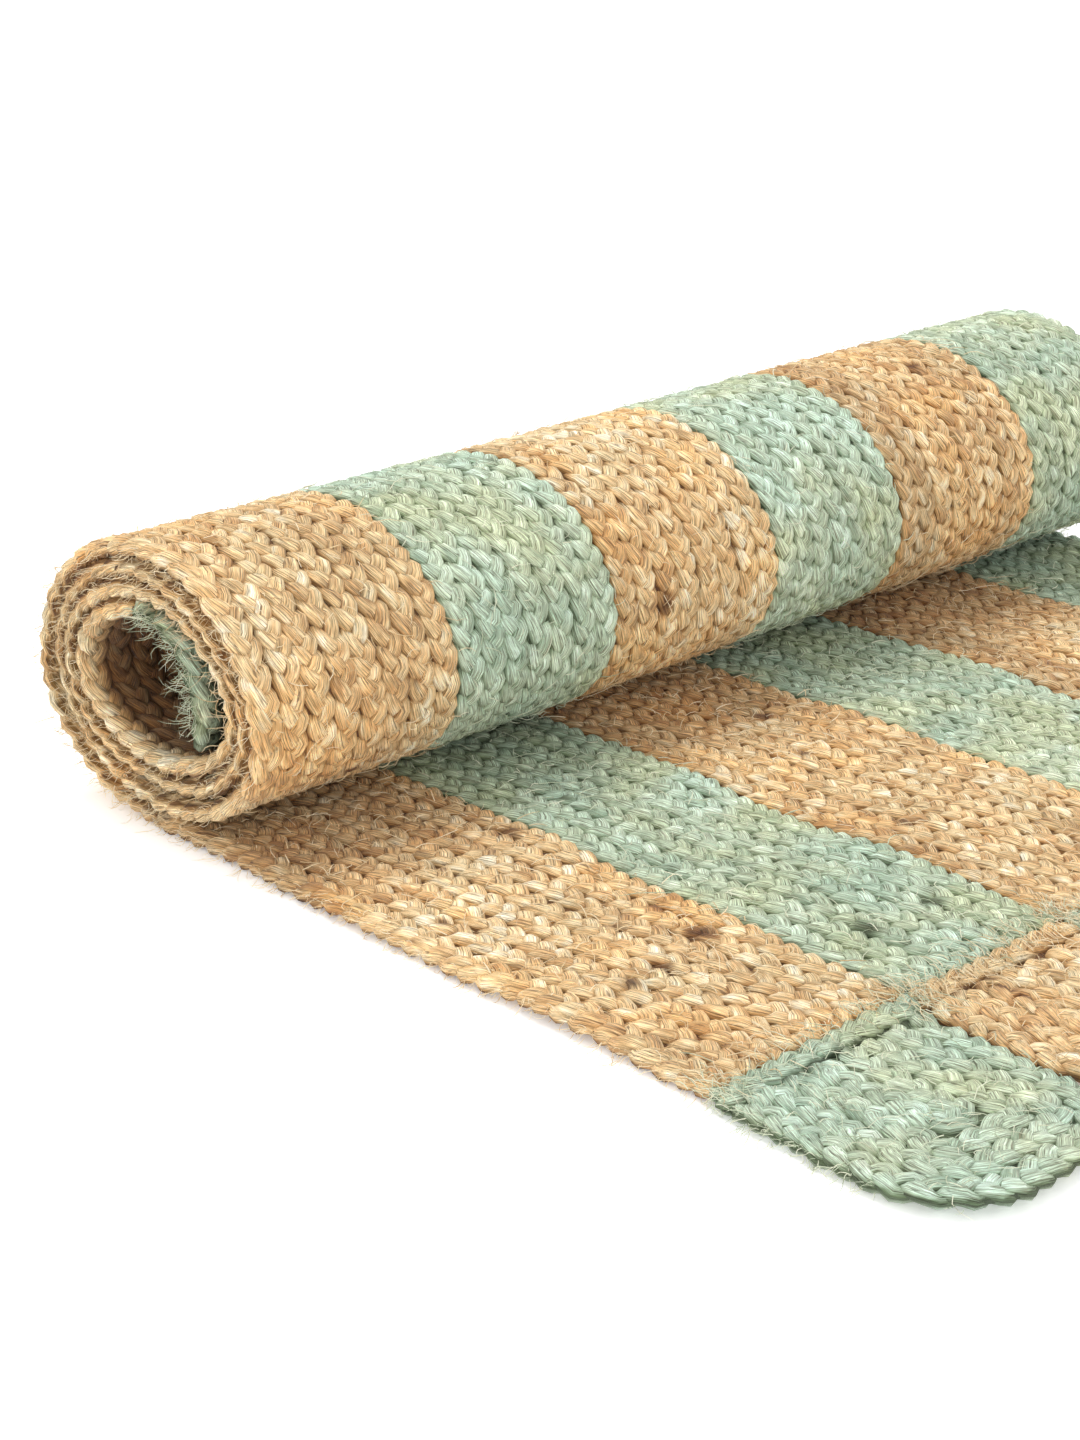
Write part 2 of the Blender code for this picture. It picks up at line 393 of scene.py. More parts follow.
# ---------------------------------------------------------------- meshes
class Build:
    """Collects grids of quads with their fibre coordinates, and makes one object of them."""

    def __init__(self):
        self.points, self.quads, self.uvs, self.depths, self.shades = [], [], [], [], []
        self.count = 0

    def grid(self, points, uv, depth, shade, keep=None, closed=False):
        """A grid of points, of shape (rows, columns, 3).

        keep says for each row of quads if it is built. closed joins the last column to the first.
        """
        rows, columns = points.shape[:2]
        index = np.arange(rows * columns).reshape(rows, columns) + self.count
        right = np.roll(index, -1, axis=1)
        a, b = index[:-1], right[:-1]
        c, d = right[1:], index[1:]
        if not closed:
            a, b, c, d = (part[:, :-1] for part in (a, b, c, d))
        quads = np.stack((a, b, c, d), -1)
        if keep is not None:
            quads = quads[keep]
        quads = quads.reshape(-1, 4)
        used = np.unique(quads)
        fresh = np.zeros(self.count + rows * columns, dtype=np.int64)
        fresh[used] = np.arange(len(used)) + self.count
        pick = used - self.count
        self.points.append(points.reshape(-1, 3)[pick])
        self.uvs.append(uv.reshape(-1, 2)[pick])
        self.depths.append(depth.reshape(-1)[pick])
        self.shades.append(shade.reshape(-1)[pick])
        self.quads.append(fresh[quads])
        self.count += len(used)

    def make(self, name, material):
        mesh = bpy.data.meshes.new(name)
        points = np.concatenate(self.points)
        quads = np.concatenate(self.quads)
        mesh.vertices.add(len(points))
        mesh.vertices.foreach_set("co", points.astype(np.float32).ravel())
        mesh.loops.add(quads.size)
        mesh.loops.foreach_set("vertex_index", quads.astype(np.int32).ravel())
        mesh.polygons.add(len(quads))
        mesh.polygons.foreach_set("loop_start", np.arange(0, quads.size, 4, dtype=np.int32))
        mesh.update(calc_edges=True)
        layer = mesh.uv_layers.new(name="fibre")
        uvs = np.concatenate(self.uvs)[quads.ravel()]
        layer.data.foreach_set("uv", uvs.astype(np.float32).ravel())
        for label, values in (("depth", self.depths), ("shade", self.shades)):
            layer = mesh.attributes.new(label, "FLOAT", "POINT")
            layer.data.foreach_set("value", np.concatenate(values).astype(np.float32))
        mesh.shade_smooth()
        mesh.materials.append(material)
        mesh.validate()
        piece = bpy.data.objects.new(name, mesh)
        bpy.context.scene.collection.objects.link(piece)
        return piece


def away_from_line(across, run, start, end):
    """Distances from the straight line between two (across, run) points."""
    way = np.subtract(end, start)
    share = ((across - start[0]) * way[0] + (run - start[1]) * way[1]) / (way @ way)
    share = np.clip(share, 0, 1)
    return np.hypot(across - start[0] - share * way[0], run - start[1] - share * way[1])


def shade_at(stripe, across, run):
    """How bright the cloth is, 1 where nothing dulls it.

    Painted shade dulls it where the roll shades it, deep in the roll's core and along the tabs' grooves;
    some plaits and the knots are darker in their own colour.
    """
    # Painted shadow of the roll on the cloth just before it
    beside_roll = smooth_step((run - FLAT_RUN + NIP_SHADE_START) / NIP_SHADE_LENGTH)
    beside_roll = beside_roll * (run < FLAT_RUN + NIP_SHADE_PAST)
    # Painted shade deep in the roll's core, fading out near the rug's ends
    before = sum(stripe_width(s) for s in range(stripe))
    from_end = np.minimum(before + across, whole_width() - before - across)
    in_core = smooth_step((run - INNER_TURN_RUN) / CORE_SHADE_LENGTH)
    in_core = in_core * smooth_step((from_end - CORE_SHADE_EDGE) / CORE_SHADE_DEPTH)
    shade = (1 - NIP_SHADE * beside_roll) * (1 - CORE_SHADE * in_core)
    # A tab's seam row reaches past run 0, and is dulled with the plaits of its stripe
    in_flat_tab = np.max(run) <= 0
    if not in_flat_tab:
        plait_number = across / PLAIT_PITCH
        for dull_stripe, first, last, tone in DULL_PLAITS:
            if dull_stripe == stripe + 1:
                shade = shade * np.where((plait_number > first) & (plait_number < last), tone, 1.0)
    for knot_stripe, knot_across, knot_run, size in KNOTS:
        if knot_stripe == stripe + 1:
            away = np.hypot(across - knot_across, (run - knot_run) * 0.8) / size
            shade = shade * (1 - KNOT_SHADE * smooth_step(1.35 - away))
    # Painted shade along the tabs' sewn grooves
    for groove_stripe, across_start, run_start, across_end, run_end, half_width in GROOVES:
        if groove_stripe == stripe + 1:
            away = away_from_line(across, run, (across_start, run_start), (across_end, run_end))
            shade = shade * (1 - GROOVE_SHADE * smooth_step(1.6 - away / half_width))
    return shade


def slow_noise(s, wavelength, amount):
    """A smooth random curve of about this amount along s."""
    value = 0.0
    for octave, weight in ((1.0, 0.7), (0.47, 0.5)):
        value = value + np.sin(2 * np.pi * (s / (wavelength * octave) + random.random())) * weight
    return value * amount


def round_corners(corners, radius, step):
    """Even points along an open outline of straight runs (across, run) with round corners."""
    points = [np.array(corners[0])]
    for before, corner, after in zip(corners, corners[1:], corners[2:]):
        before, corner, after = (np.array(p) for p in (before, corner, after))
        into = (corner - before) / np.linalg.norm(corner - before)
        out = (after - corner) / np.linalg.norm(after - corner)
        start = corner - into * radius
        for angle in np.linspace(0, math.pi / 2, 12):
            points.append(start + radius * (into * math.sin(angle) + out * (1 - math.cos(angle))))
    points.append(np.array(corners[-1]))
    points = np.array(points)
    lengths = np.concatenate(([0.0], np.cumsum(np.linalg.norm(np.diff(points, axis=0), axis=1))))
    even = np.arange(0, lengths[-1], step)
    return np.stack([np.interp(even, lengths, column) for column in points.T], -1)


def edge_depth(stripe, ring, depth):
    """Painted shade in the creases of the rug's outermost plait, which lie on its side where turns of the
    roll meet.
    """
    across, run, height = ring[..., 0], ring[..., 1], ring[..., 2]
    from_edge = across if stripe == 0 else stripe_width(stripe) - across
    beside_outer_turn = (height < 0) & ((run > FIRST_TURN_RUN) | (run < FLAT_RUN))
    beside_inner_turn = (height > 0) & (run > FLAT_RUN) & (run < INNER_TURN_RUN)
    # Painted contact shade is full where a turn of the roll touches, and OPEN_CREASE of it elsewhere
    touching = np.where(beside_outer_turn | beside_inner_turn, 1.0, OPEN_CREASE)
    rounding = smooth_step((np.abs(height) - EDGE_CREASE_START) / EDGE_CREASE_LENGTH)
    meeting = touching * (0.30 + 0.70 * rounding)
    side_on = smooth_step(1.2 - from_edge / EDGE_REACH)
    return depth + side_on * (meeting - depth)


def plait(build, stripe, line, step, face, sides, pitch, rug_edge=False):
    """Three strands braided along a line of (across, run) points, evenly a step apart.

    face is +1 or -1 where only that side of the cloth shows, and then only the tops of the strands
    are built; 0 is whole strands. sides is how many points each ring has, and pitch how wide the
    plait is. rug_edge marks the rug's outermost plait, fuller than the rest and seen from its side.
    """
    s = np.arange(len(line)) * step
    along = np.gradient(line, step, axis=0)
    along /= np.linalg.norm(along, axis=1)[:, None]
    sideways = np.stack((along[:, 1], -along[:, 0]), -1)
    scale = pitch / PLAIT_PITCH
    fullness = EDGE_FULLNESS if rug_edge else 1.0
    period = STRAND_PERIOD * (1 + PERIOD_SPREAD * random.standard_normal())
    shift = random.random() * 2 * np.pi
    wander = slow_noise(s, *WANDER)
    rise = slow_noise(s, *RISE)
    pace = slow_noise(s, *PACE)
    if face:
        turn = face * np.linspace(RING_START, RING_END, sides)
    else:
        turn = np.linspace(0, 2 * np.pi, sides, endpoint=False)
    cos, sin = np.cos(turn), np.sin(turn)
    sin = np.sign(sin) * np.abs(sin) ** RING_FLATNESS
    flank = smooth_step((np.abs(cos) - FLANK_START) / (1 - FLANK_START))
    for strand in range(3):
        angle = 2 * np.pi * s / period + shift + pace + strand * 2 * np.pi / 3
        angle = angle + slow_noise(s, *LAG)
        swing = SIDEWAYS_SWING * scale * (1 + slow_noise(s, *SWING_CHANGE))
        offset = swing * np.sin(angle) + wander
        height = HEIGHT_SWING * np.tanh(CROSSING_FLATNESS * np.sin(2 * angle))
        height = height / math.tanh(CROSSING_FLATNESS) + rise
        centre = np.column_stack((line + sideways * offset[:, None], height))
        if face:
            keep = face * np.sin(2 * angle) > SHOWING
            keep = keep[:-1] | keep[1:]
        else:
            keep = None
        tangent = np.gradient(centre, step, axis=0)
        tangent /= np.linalg.norm(tangent, axis=1)[:, None]
        normal = np.array([0.0, 0.0, 1.0]) - tangent * tangent[:, 2:3]
        normal /= np.linalg.norm(normal, axis=1)[:, None]
        side = np.cross(tangent, normal)
        outer = np.abs(np.sin(angle))
        half_width = STRAND_HALF_WIDTH * scale * (1 + slow_noise(s, *WIDTH_CHANGE))
        half_width = half_width * (1 - OUTER_NARROWING * outer)
        half_thick = STRAND_HALF_THICKNESS * fullness * (1 + slow_noise(s, *THICKNESS_CHANGE))
        half_thick = half_thick * (1 + OUTER_THICKENING * outer)
        taper = np.sqrt(np.clip(np.minimum(s, s[-1] - s) / STRAND_END, 0.02, 1.0))
        half_width = half_width * taper
        half_thick = half_thick * taper
        ring = centre[:, None, :] + (half_width[:, None] * cos)[..., None] * side[:, None, :]
        ring = ring + (half_thick[:, None] * sin)[..., None] * normal[:, None, :]
        lengthwise = ((ring - centre[:, None, :])[..., :2] * along[:, None, :]).sum(-1)
        ring[..., 2] += STRAND_TILT * lengthwise
        points = place(stripe, ring[..., 0], ring[..., 1], ring[..., 2])
        seed = random.random() * 40
        round_strand = turn[None, :] * STRAND_HALF_WIDTH * PER_METRE + seed
        uv = np.stack(np.broadcast_arrays(round_strand, s[:, None] * PER_METRE), -1)
        # depth leads the painted crease shade: more of it below the strand's top and on its flanks
        seen = face if face else np.sign(ring[..., 2])
        depth = np.clip(1 - seen * ring[..., 2] / (THICKNESS / 2), 0, 1.5)
        depth = np.maximum(depth, flank[None, :])
        if rug_edge:
            depth = edge_depth(stripe, ring, depth)
        shade = shade_at(stripe, ring[..., 0], ring[..., 1])
        build.grid(points, uv, depth, shade, keep, closed=not face)


def straight(across, start, end, step):
    """Even (across, run) points along one stripe."""
    run = np.arange(start, end, step)
    return np.column_stack((np.full(len(run), across), run))


def plait_count(stripe):
    return NATURAL_PLAITS if stripe % 2 == 0 else GREEN_PLAITS


def stripe_plaits(stripe, material):
    """The plaits of one stripe, as a flat piece and a rolled piece.

    Only what shows is built: the flat run's top, the outer turn's outside and the core's inside.
    The rug's two outermost plaits show all the way.
    """
    count = plait_count(stripe)
    pitch = stripe_width(stripe) / count
    end = WOUND_SEAM_RUN + SEAM_OVERLAP
    flat, roll = Build(), Build()
    for number in range(count):
        across = (number + 0.5) * pitch
        first = stripe == 0 and number == 0
        last = stripe == STRIPE_COUNT - 1 and number == count - 1
        if first or last:
            line = straight(across, -SEAM_OVERLAP, FLAT_RUN + ROLL_OVERLAP, STEP)
            plait(flat, stripe, line, STEP, 0, WHOLE_SIDES, pitch, rug_edge=True)
            line = straight(across, FLAT_RUN - ROLL_OVERLAP, end, STEP)
            plait(roll, stripe, line, STEP, 0, WHOLE_SIDES, pitch, rug_edge=True)
            continue
        line = straight(across, -SEAM_OVERLAP, FLAT_RUN, STEP)
        plait(flat, stripe, line, STEP, 1, FACE_SIDES, pitch)
        line = straight(across, FLAT_RUN - CORNER_OVERLAP, FIRST_TURN_RUN, STEP)
        plait(roll, stripe, line, STEP, -1, FACE_SIDES, pitch)
        line = straight(across, INNER_TURN_RUN, end, COARSE_STEP)
        plait(roll, stripe, line, COARSE_STEP, 1, CORE_SIDES, pitch)
    return [
        flat.make(f"stripe_{stripe + 1}_plaits_flat", material),
        roll.make(f"stripe_{stripe + 1}_plaits_rolled", material),
    ]


def tab_plaits(name, stripe, seam_run, way_out, length, material, face, step, sides):
    """A row along the seam, then rows nested like hairpins round the tab's end.

    way_out is +1 or -1, the way along the cloth that the tab points. The row and the outermost
    hairpin have whole strands, and face and sides are as for plait.
    """
    count = plait_count(stripe)
    width = stripe_width(stripe)
    pitch = width / count
    build = Build()
    row_run = seam_run + way_out * (pitch / 2 - ROW_INSET)
    row = np.arange(-ROW_OVERLAP, width + ROW_OVERLAP, step)
    plait(build, stripe, np.column_stack((row, np.full(len(row), row_run))), step, 0, sides, pitch)
    start = seam_run + way_out * (pitch - HAIRPIN_OVERLAP)
    for number in range(count // 2):
        inset = (number + 0.5) * pitch
        end = seam_run + way_out * (length - inset)
        radius = max(TAB_CORNER - inset, pitch * SHARPEST_HAIRPIN)
        outline = ((inset, start), (inset, end), (width - inset, end), (width - inset, start))
        line = round_corners(outline, radius, step)
        if number == 0 or not face:
            plait(build, stripe, line, step, 0, sides, pitch)
        else:
            plait(build, stripe, line, step, face, TAB_FACE_SIDES, pitch)
    if count % 2:
        end = seam_run + way_out * (length - pitch * (count // 2))
        low, high = min(start, end), max(start, end)
        plait(build, stripe, straight(width / 2, low, high, step), step, face, TAB_FACE_SIDES, pitch)
    return build.make(name, material)


def base_sheet(name, stripe, runs, insets, material):
    """The thin closed layer between the plaits' two faces, one row at each run, inset at its sides."""
    width = stripe_width(stripe)
    columns = np.linspace(0, 1, SHEET_COLUMNS)
    insets = (insets + SHEET_INSET)[:, None]
    across = insets + columns[None, :] * (width - 2 * insets)
    across = np.concatenate((across, across[:, ::-1]), axis=1)
    height = np.repeat((SHEET_HALF_THICKNESS, -SHEET_HALF_THICKNESS), SHEET_COLUMNS)
    run = np.broadcast_to(runs[:, None], across.shape)
    points = place(stripe, across, run, np.broadcast_to(height, across.shape))
    first = (points[:1] + points[:1, ::-1]) / 2
    last = (points[-1:] + points[-1:, ::-1]) / 2
    points = np.concatenate((first, points, last))
    round_sheet = np.concatenate((columns, columns[::-1] + 1.3))[None, :] * width * PER_METRE
    along_sheet = np.pad(runs, 1, "edge")[:, None] * PER_METRE
    uv = np.stack(np.broadcast_arrays(round_sheet, along_sheet), -1)
    ones = np.ones(points.shape[:2])
    build = Build()
    # The sheet shows only in gaps between plaits, so it gets the full painted crease shade and some
    # painted dulling
    build.grid(points, uv, ones, 0.8 * ones, closed=True)
    sheet = build.make(name, material)
    bm = bmesh.new()
    bm.from_mesh(sheet.data)
    bmesh.ops.remove_doubles(bm, verts=bm.verts, dist=0.00001)
    bmesh.ops.recalc_face_normals(bm, faces=bm.faces)
    bm.to_mesh(sheet.data)
    bm.free()
    return sheet


def corner_inset(to_end):
    """How far a tab's round corners take its sides in, from the distance to its end."""
    reach = np.clip(TAB_CORNER - to_end, 0, TAB_CORNER)
    return TAB_CORNER - np.sqrt(TAB_CORNER**2 - reach**2)


def tab_distances(length):
    """How far from the seam a tab's sheet has its rows: even ones, then closer round its corners."""
    straight_part = np.linspace(SHEET_START, length - TAB_CORNER, TAB_ROWS)[:-1]
    sine = np.sin(np.linspace(0, math.pi / 2, CORNER_ROWS))
    return np.concatenate((straight_part, length - TAB_CORNER * (1 - sine) - SHEET_INSET * sine))


def stray_fibres(name, stripe, across, run, height, heading, length, radius, curl, material):
    """Loose fibres as thin three-sided tubes, from arrays with one value for each fibre."""
    count = len(across)
    t = np.linspace(0, 1, FIBRE_POINTS)[None, :]
    bend = random.normal(0, 1, (count, 1)) * curl[:, None]
    direction = heading[:, None] + bend * (t - 0.5)
    step = length[:, None] / (FIBRE_POINTS - 1)
    forward = np.cumsum(np.cos(direction) * step, axis=1)
    sideways = np.cumsum(np.sin(direction) * step, axis=1)
    lift = random.uniform(0.0003, 0.0022, (count, 1))
    lift = lift * np.sin(np.pi * t * random.uniform(0.5, 1.0, (count, 1)))
    side = np.sign(height)[:, None]
    levels = height[:, None] + side * lift * np.minimum(curl, 1)[:, None]
    points = place(stripe, across[:, None] + sideways, run[:, None] + forward, levels)
    points[..., 2] = np.maximum(points[..., 2], LOWEST_FIBRE)
    tangent = np.gradient(points, axis=1)
    tangent /= np.linalg.norm(tangent, axis=2)[..., None] + 1e-12
    first = np.cross(tangent, random.normal(0, 1, (count, 1, 3)))
    first /= np.linalg.norm(first, axis=2)[..., None] + 1e-12
    second = np.cross(tangent, first)
    thick = radius[:, None] * np.array([1.0, 0.95, 0.8, 0.35])[None, :]
    build = Build()
    rings = [
        points + thick[..., None] * (first * math.cos(a) + second * math.sin(a))
        for a in (0, 2 * math.pi / 3, 4 * math.pi / 3)
    ]
    rings = np.stack(rings, axis=2)
    no_crease = np.zeros((FIBRE_POINTS, 3))
    no_shade = np.ones((FIBRE_POINTS, 3))
    for fibre in range(count):
        seed = random.random() * 50
        along_fibre = np.arange(FIBRE_POINTS)[:, None] * 0.25
        uv = np.stack(np.broadcast_arrays(np.full(3, seed)[None, :], along_fibre), -1)
        build.grid(rings[fibre], uv, no_crease, no_shade, closed=True)
    return build.make(name, material)


# ---------------------------------------------------------------- materials
BLACK = (0, 0, 0)
WHITE = (1, 1, 1)
SPECK_AMOUNT = 0.75


def link(tree, source, output, target, entry):
    """Joins an output of one shader node to an input of another."""
    tree.links.new(source.outputs[output], target.inputs[entry])


def node(tree, kind, **values):
    """A new shader node with these of its settings."""
    made = tree.nodes.new(kind)
    for key, value in values.items():
        setattr(made, key, value)
    return made


def ramp_node(tree, source, out, stops):
    """A colour ramp of (position, colour) stops, led by one output of the source node."""
    made = node(tree, "ShaderNodeValToRGB")
    elements = made.color_ramp.elements
    while len(elements) < len(stops):
        elements.new(0.5)
    for element, (position, colour) in zip(elements, stops):
        element.position = position
        element.color = (*colour, 1)
    link(tree, source, out, made, "Fac")
    return made.outputs["Color"]


def jute_material(name, tones, straw, straw_amount, darkness, cool, warm, shade_tint, crease_shade_tones):
    """Jute: streaks along each strand, tones that drift along it, patches, specks and painted shade in the
    creases.

    tones go from the darkest fibre to the palest. straw is the colour of odd pale fibres, and
    darkness that of specks and knots, and of the painted shade deep in the core. cool and warm tint
    whole patches, shade_tint tints what is half dulled by painted shade or a darker plait, and the
    crease tones, which are painted shade, go from the crease's side to its bottom.
    """
    material = bpy.data.materials.new(name)
    material.use_nodes = True
    tree = material.node_tree
    shader = tree.nodes["Principled BSDF"]
    shader.inputs["Roughness"].default_value = 0.85
    shader.inputs["Specular IOR Level"].default_value = 0.25
    shader.inputs["Sheen Weight"].default_value = 0.12
    shader.inputs["Sheen Roughness"].default_value = 0.5
    uv = node(tree, "ShaderNodeUVMap", uv_map="fibre")
    where = node(tree, "ShaderNodeTexCoord")

    def stretched_noise(x, y, detail, rough=0.5, offset=0.0):
        mapping = node(tree, "ShaderNodeMapping")
        mapping.inputs["Scale"].default_value = (x, y, 1)
        mapping.inputs["Location"].default_value = (offset, offset * 0.37, 0)
        noise = node(tree, "ShaderNodeTexNoise", noise_dimensions="2D")
        noise.inputs["Scale"].default_value = 1.0
        noise.inputs["Detail"].default_value = detail
        noise.inputs["Roughness"].default_value = rough
        link(tree, uv, "UV", mapping, "Vector")
        link(tree, mapping, "Vector", noise, "Vector")
        return noise

    def mix(kind, factor, a, b):
        made = node(tree, "ShaderNodeMix", data_type="RGBA", blend_type=kind)
        for socket, value in ((made.inputs[0], factor), (made.inputs[6], a), (made.inputs[7], b)):
            if isinstance(value, (int, float)):
                socket.default_value = value
            elif isinstance(value, tuple):
                socket.default_value = (*value, 1)
            else:
                tree.links.new(value, socket)
        return made.outputs[2]

    drift = stretched_noise(1.1, 0.75, 2.0, 0.6)
    fibres = stretched_noise(14.0, 0.9, 3.0, 0.65)
    fine = stretched_noise(38.0, 2.2, 2.0, 0.6, 3.0)
    patches = node(tree, "ShaderNodeTexNoise")
    patches.inputs["Scale"].default_value = 9.0
    patches.inputs["Detail"].default_value = 2.0
    link(tree, where, "Object", patches, "Vector")

    lot = node(tree, "ShaderNodeMath", operation="MULTIPLY_ADD")
    tree.links.new(patches.outputs["Fac"], lot.inputs[0])
    lot.inputs[1].default_value = 0.45
    lot.inputs[2].default_value = -0.225
    tone = node(tree, "ShaderNodeMath", operation="ADD")
    tree.links.new(drift.outputs["Fac"], tone.inputs[0])
    tree.links.new(lot.outputs[0], tone.inputs[1])
    base = ramp_node(tree, tone, "Value", tuple(zip((0.28, 0.46, 0.60, 0.76), tones)))
    streak_stops = (
        (0.32, (0.34, 0.29, 0.22)),
        (0.44, (0.98, 0.97, 0.95)),
        (0.64, (1.66, 1.68, 1.74)),
    )
    base = mix("MULTIPLY", 0.9, base, ramp_node(tree, fibres, "Fac", streak_stops))
    hair_stops = ((0.36, (0.52, 0.50, 0.46)), (0.62, (1.30, 1.30, 1.28)))
    base = mix("MULTIPLY", 0.8, base, ramp_node(tree, fine, "Fac", hair_stops))
    strays = stretched_noise(22.0, 1.5, 1.0, 0.5, 9.0)
    stray = ramp_node(tree, strays, "Fac", ((0.60, BLACK), (0.68, WHITE)))
    weight = mix("MULTIPLY", 1.0, stray, (straw_amount,) * 3)
    base = mix("MIX", weight, base, straw)
    specks = stretched_noise(4.0, 1.6, 2.0, 0.5, 21.0)
    speck = ramp_node(tree, specks, "Fac", ((0.69, BLACK), (0.77, WHITE)))
    weight = mix("MULTIPLY", 1.0, speck, (SPECK_AMOUNT,) * 3)
    base = mix("MIX", weight, base, darkness)
    hues = node(tree, "ShaderNodeTexNoise")
    hues.inputs["Scale"].default_value = 23.0
    hues.inputs["Detail"].default_value = 3.0
    link(tree, where, "Object", hues, "Vector")
    tint = ramp_node(tree, hues, "Fac", ((0.36, cool), (0.50, WHITE), (0.64, warm)))
    base = mix("MULTIPLY", 1.0, base, tint)
    # Painted shade in the creases, from the depth attribute
    depth = node(tree, "ShaderNodeAttribute", attribute_name="depth")
    crease = ramp_node(tree, depth, "Fac", ((0.36, WHITE), *zip((0.58, 0.88), crease_shade_tones)))
    base = mix("MULTIPLY", 1.0, base, crease)
    # Painted shade beside the roll, in its core and in grooves, with the own darker tone of knots and some
    # plaits
    shade = node(tree, "ShaderNodeAttribute", attribute_name="shade")
    half_dulled = tuple(0.62 * part for part in shade_tint)
    dulled = ramp_node(tree, shade, "Fac", ((0.0, darkness), (0.55, half_dulled), (1.0, WHITE)))
    base = mix("MULTIPLY", 1.0, base, dulled)
    tree.links.new(base, shader.inputs["Base Color"])

    height = node(tree, "ShaderNodeMath", operation="MULTIPLY_ADD")
    tree.links.new(fibres.outputs["Fac"], height.inputs[0])
    height.inputs[1].default_value = 1.5
    tree.links.new(fine.outputs["Fac"], height.inputs[2])
    bump = node(tree, "ShaderNodeBump")
    bump.inputs["Strength"].default_value = 0.8
    bump.inputs["Distance"].default_value = 0.0011
    tree.links.new(height.outputs[0], bump.inputs["Height"])
    tree.links.new(bump.outputs["Normal"], shader.inputs["Normal"])
    return material


NATURAL_TONES = ((0.56, 0.315, 0.13), (0.76, 0.505, 0.245), (0.88, 0.665, 0.38), (0.97, 0.87, 0.66))
GREEN_TONES = ((0.35, 0.45, 0.32), (0.49, 0.58, 0.43), (0.58, 0.69, 0.53), (0.73, 0.84, 0.69))

# By whether a piece is natural or green
MATERIALS = {
    True: jute_material(
        "jute_natural_fibre",
        tones=NATURAL_TONES,
        straw=(0.86, 0.70, 0.46),
        straw_amount=0.35,
        darkness=(0.16, 0.085, 0.035),
        cool=(0.95, 1.0, 1.04),
        warm=(1.06, 0.98, 0.84),
        shade_tint=(1.0, 0.84, 0.68),
        crease_shade_tones=((0.74, 0.65, 0.53), (0.24, 0.155, 0.07)),
    ),
    False: jute_material(
        "jute_green_fibre",
        tones=GREEN_TONES,
        straw=(0.76, 0.70, 0.50),
        straw_amount=0.28,
        darkness=(0.10, 0.11, 0.06),
        cool=(0.93, 1.0, 1.05),
        warm=(1.07, 1.01, 0.89),
        shade_tint=(0.92, 0.98, 0.90),
        crease_shade_tones=((0.70, 0.73, 0.65), (0.20, 0.23, 0.15)),
    ),
}


def finish_piece(piece):
    """Every piece of the rug rides on its one body."""
    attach(piece, "root")


def make_stripe(stripe):
    """One long stripe: its sheet and its plaits."""
    natural = is_natural(stripe, False)
    material = MATERIALS[natural]
    name = f"stripe_{stripe + 1}"
    flat = np.linspace(SHEET_START, FLAT_RUN, FLAT_ROWS, endpoint=False)
    roll = np.linspace(FLAT_RUN, WOUND_SEAM_RUN - SHEET_START, ROLL_ROWS)
    runs = np.concatenate((flat, roll))
    sheet = base_sheet(name + "_sheet", stripe, runs, np.zeros(len(runs)), material)
    pieces = stripe_plaits(stripe, material)
    for piece in [sheet] + pieces:
        finish_piece(piece)
    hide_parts(name)


def make_tab(stripe, kind, seam_run, way_out, length, face, step, sides):
    """One tab: its sheet and its plaits."""
    natural = is_natural(stripe, True)
    material = MATERIALS[natural]
    name = f"{kind}_{stripe + 1}"
    distances = tab_distances(length)
    runs = seam_run + way_out * distances
    sheet = base_sheet(name + "_sheet", stripe, runs, corner_inset(length - distances), material)
    plaits = tab_plaits(name + "_plaits", stripe, seam_run, way_out, length, material, face, step, sides)
    for piece in (sheet, plaits):
        finish_piece(piece)
    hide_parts(name)


def fibre_material(name, stops):
    """Dry single fibres, each of one tone between the darkest stop and the palest."""
    material = bpy.data.materials.new(name)
    material.use_nodes = True
    tree = material.node_tree
    shader = tree.nodes["Principled BSDF"]
    shader.inputs["Roughness"].default_value = 0.7
    shader.inputs["Specular IOR Level"].default_value = 0.3
    uv = node(tree, "ShaderNodeUVMap", uv_map="fibre")
    noise = node(tree, "ShaderNodeTexWhiteNoise", noise_dimensions="1D")
    split = node(tree, "ShaderNodeSeparateXYZ")
    tree.links.new(uv.outputs["UV"], split.inputs[0])
    tree.links.new(split.outputs["X"], noise.inputs["W"])
    tree.links.new(ramp_node(tree, noise, "Value", stops), shader.inputs["Base Color"])
    return material


# By whether they lie on natural or green plaits
FIBRES = {
    True: fibre_material(
        "loose_natural_fibre",
        ((0.0, (0.52, 0.33, 0.15)), (0.35, (0.80, 0.62, 0.36)), (1.0, (0.93, 0.82, 0.60))),
    ),
    False: fibre_material(
        "loose_green_fibre",
        ((0.0, (0.36, 0.42, 0.28)), (0.45, (0.62, 0.68, 0.50)), (1.0, (0.86, 0.84, 0.66))),
    ),
}


# ---------------------------------------------------------------- fuzz
# Each of the next four gives, one value for each fibre: where it starts as across, run and height,
# its heading from the way along the cloth, its length and radius, and how much it curls.
def surface_fuzz(stripe, first_run, last_run, side, density):
    """Loose fibres lying on one side of a stripe or tab, a count per square decimetre."""
    width = stripe_width(stripe)
    area = width * abs(last_run - first_run)
    count = int(area * density * 100)
    across = random.uniform(0.001, width - 0.001, count)
    run = random.uniform(min(first_run, last_run), max(first_run, last_run), count)
    height = side * (FIBRE_START + random.uniform(0, 0.0006, count))
    heading = random.uniform(0, 2 * np.pi, count)
    length = random.gamma(4.0, 0.0017, count)
    radius = random.uniform(0.00010, 0.00024, count)
    return across, run, height, heading, length, radius, np.full(count, FREE_CURL)


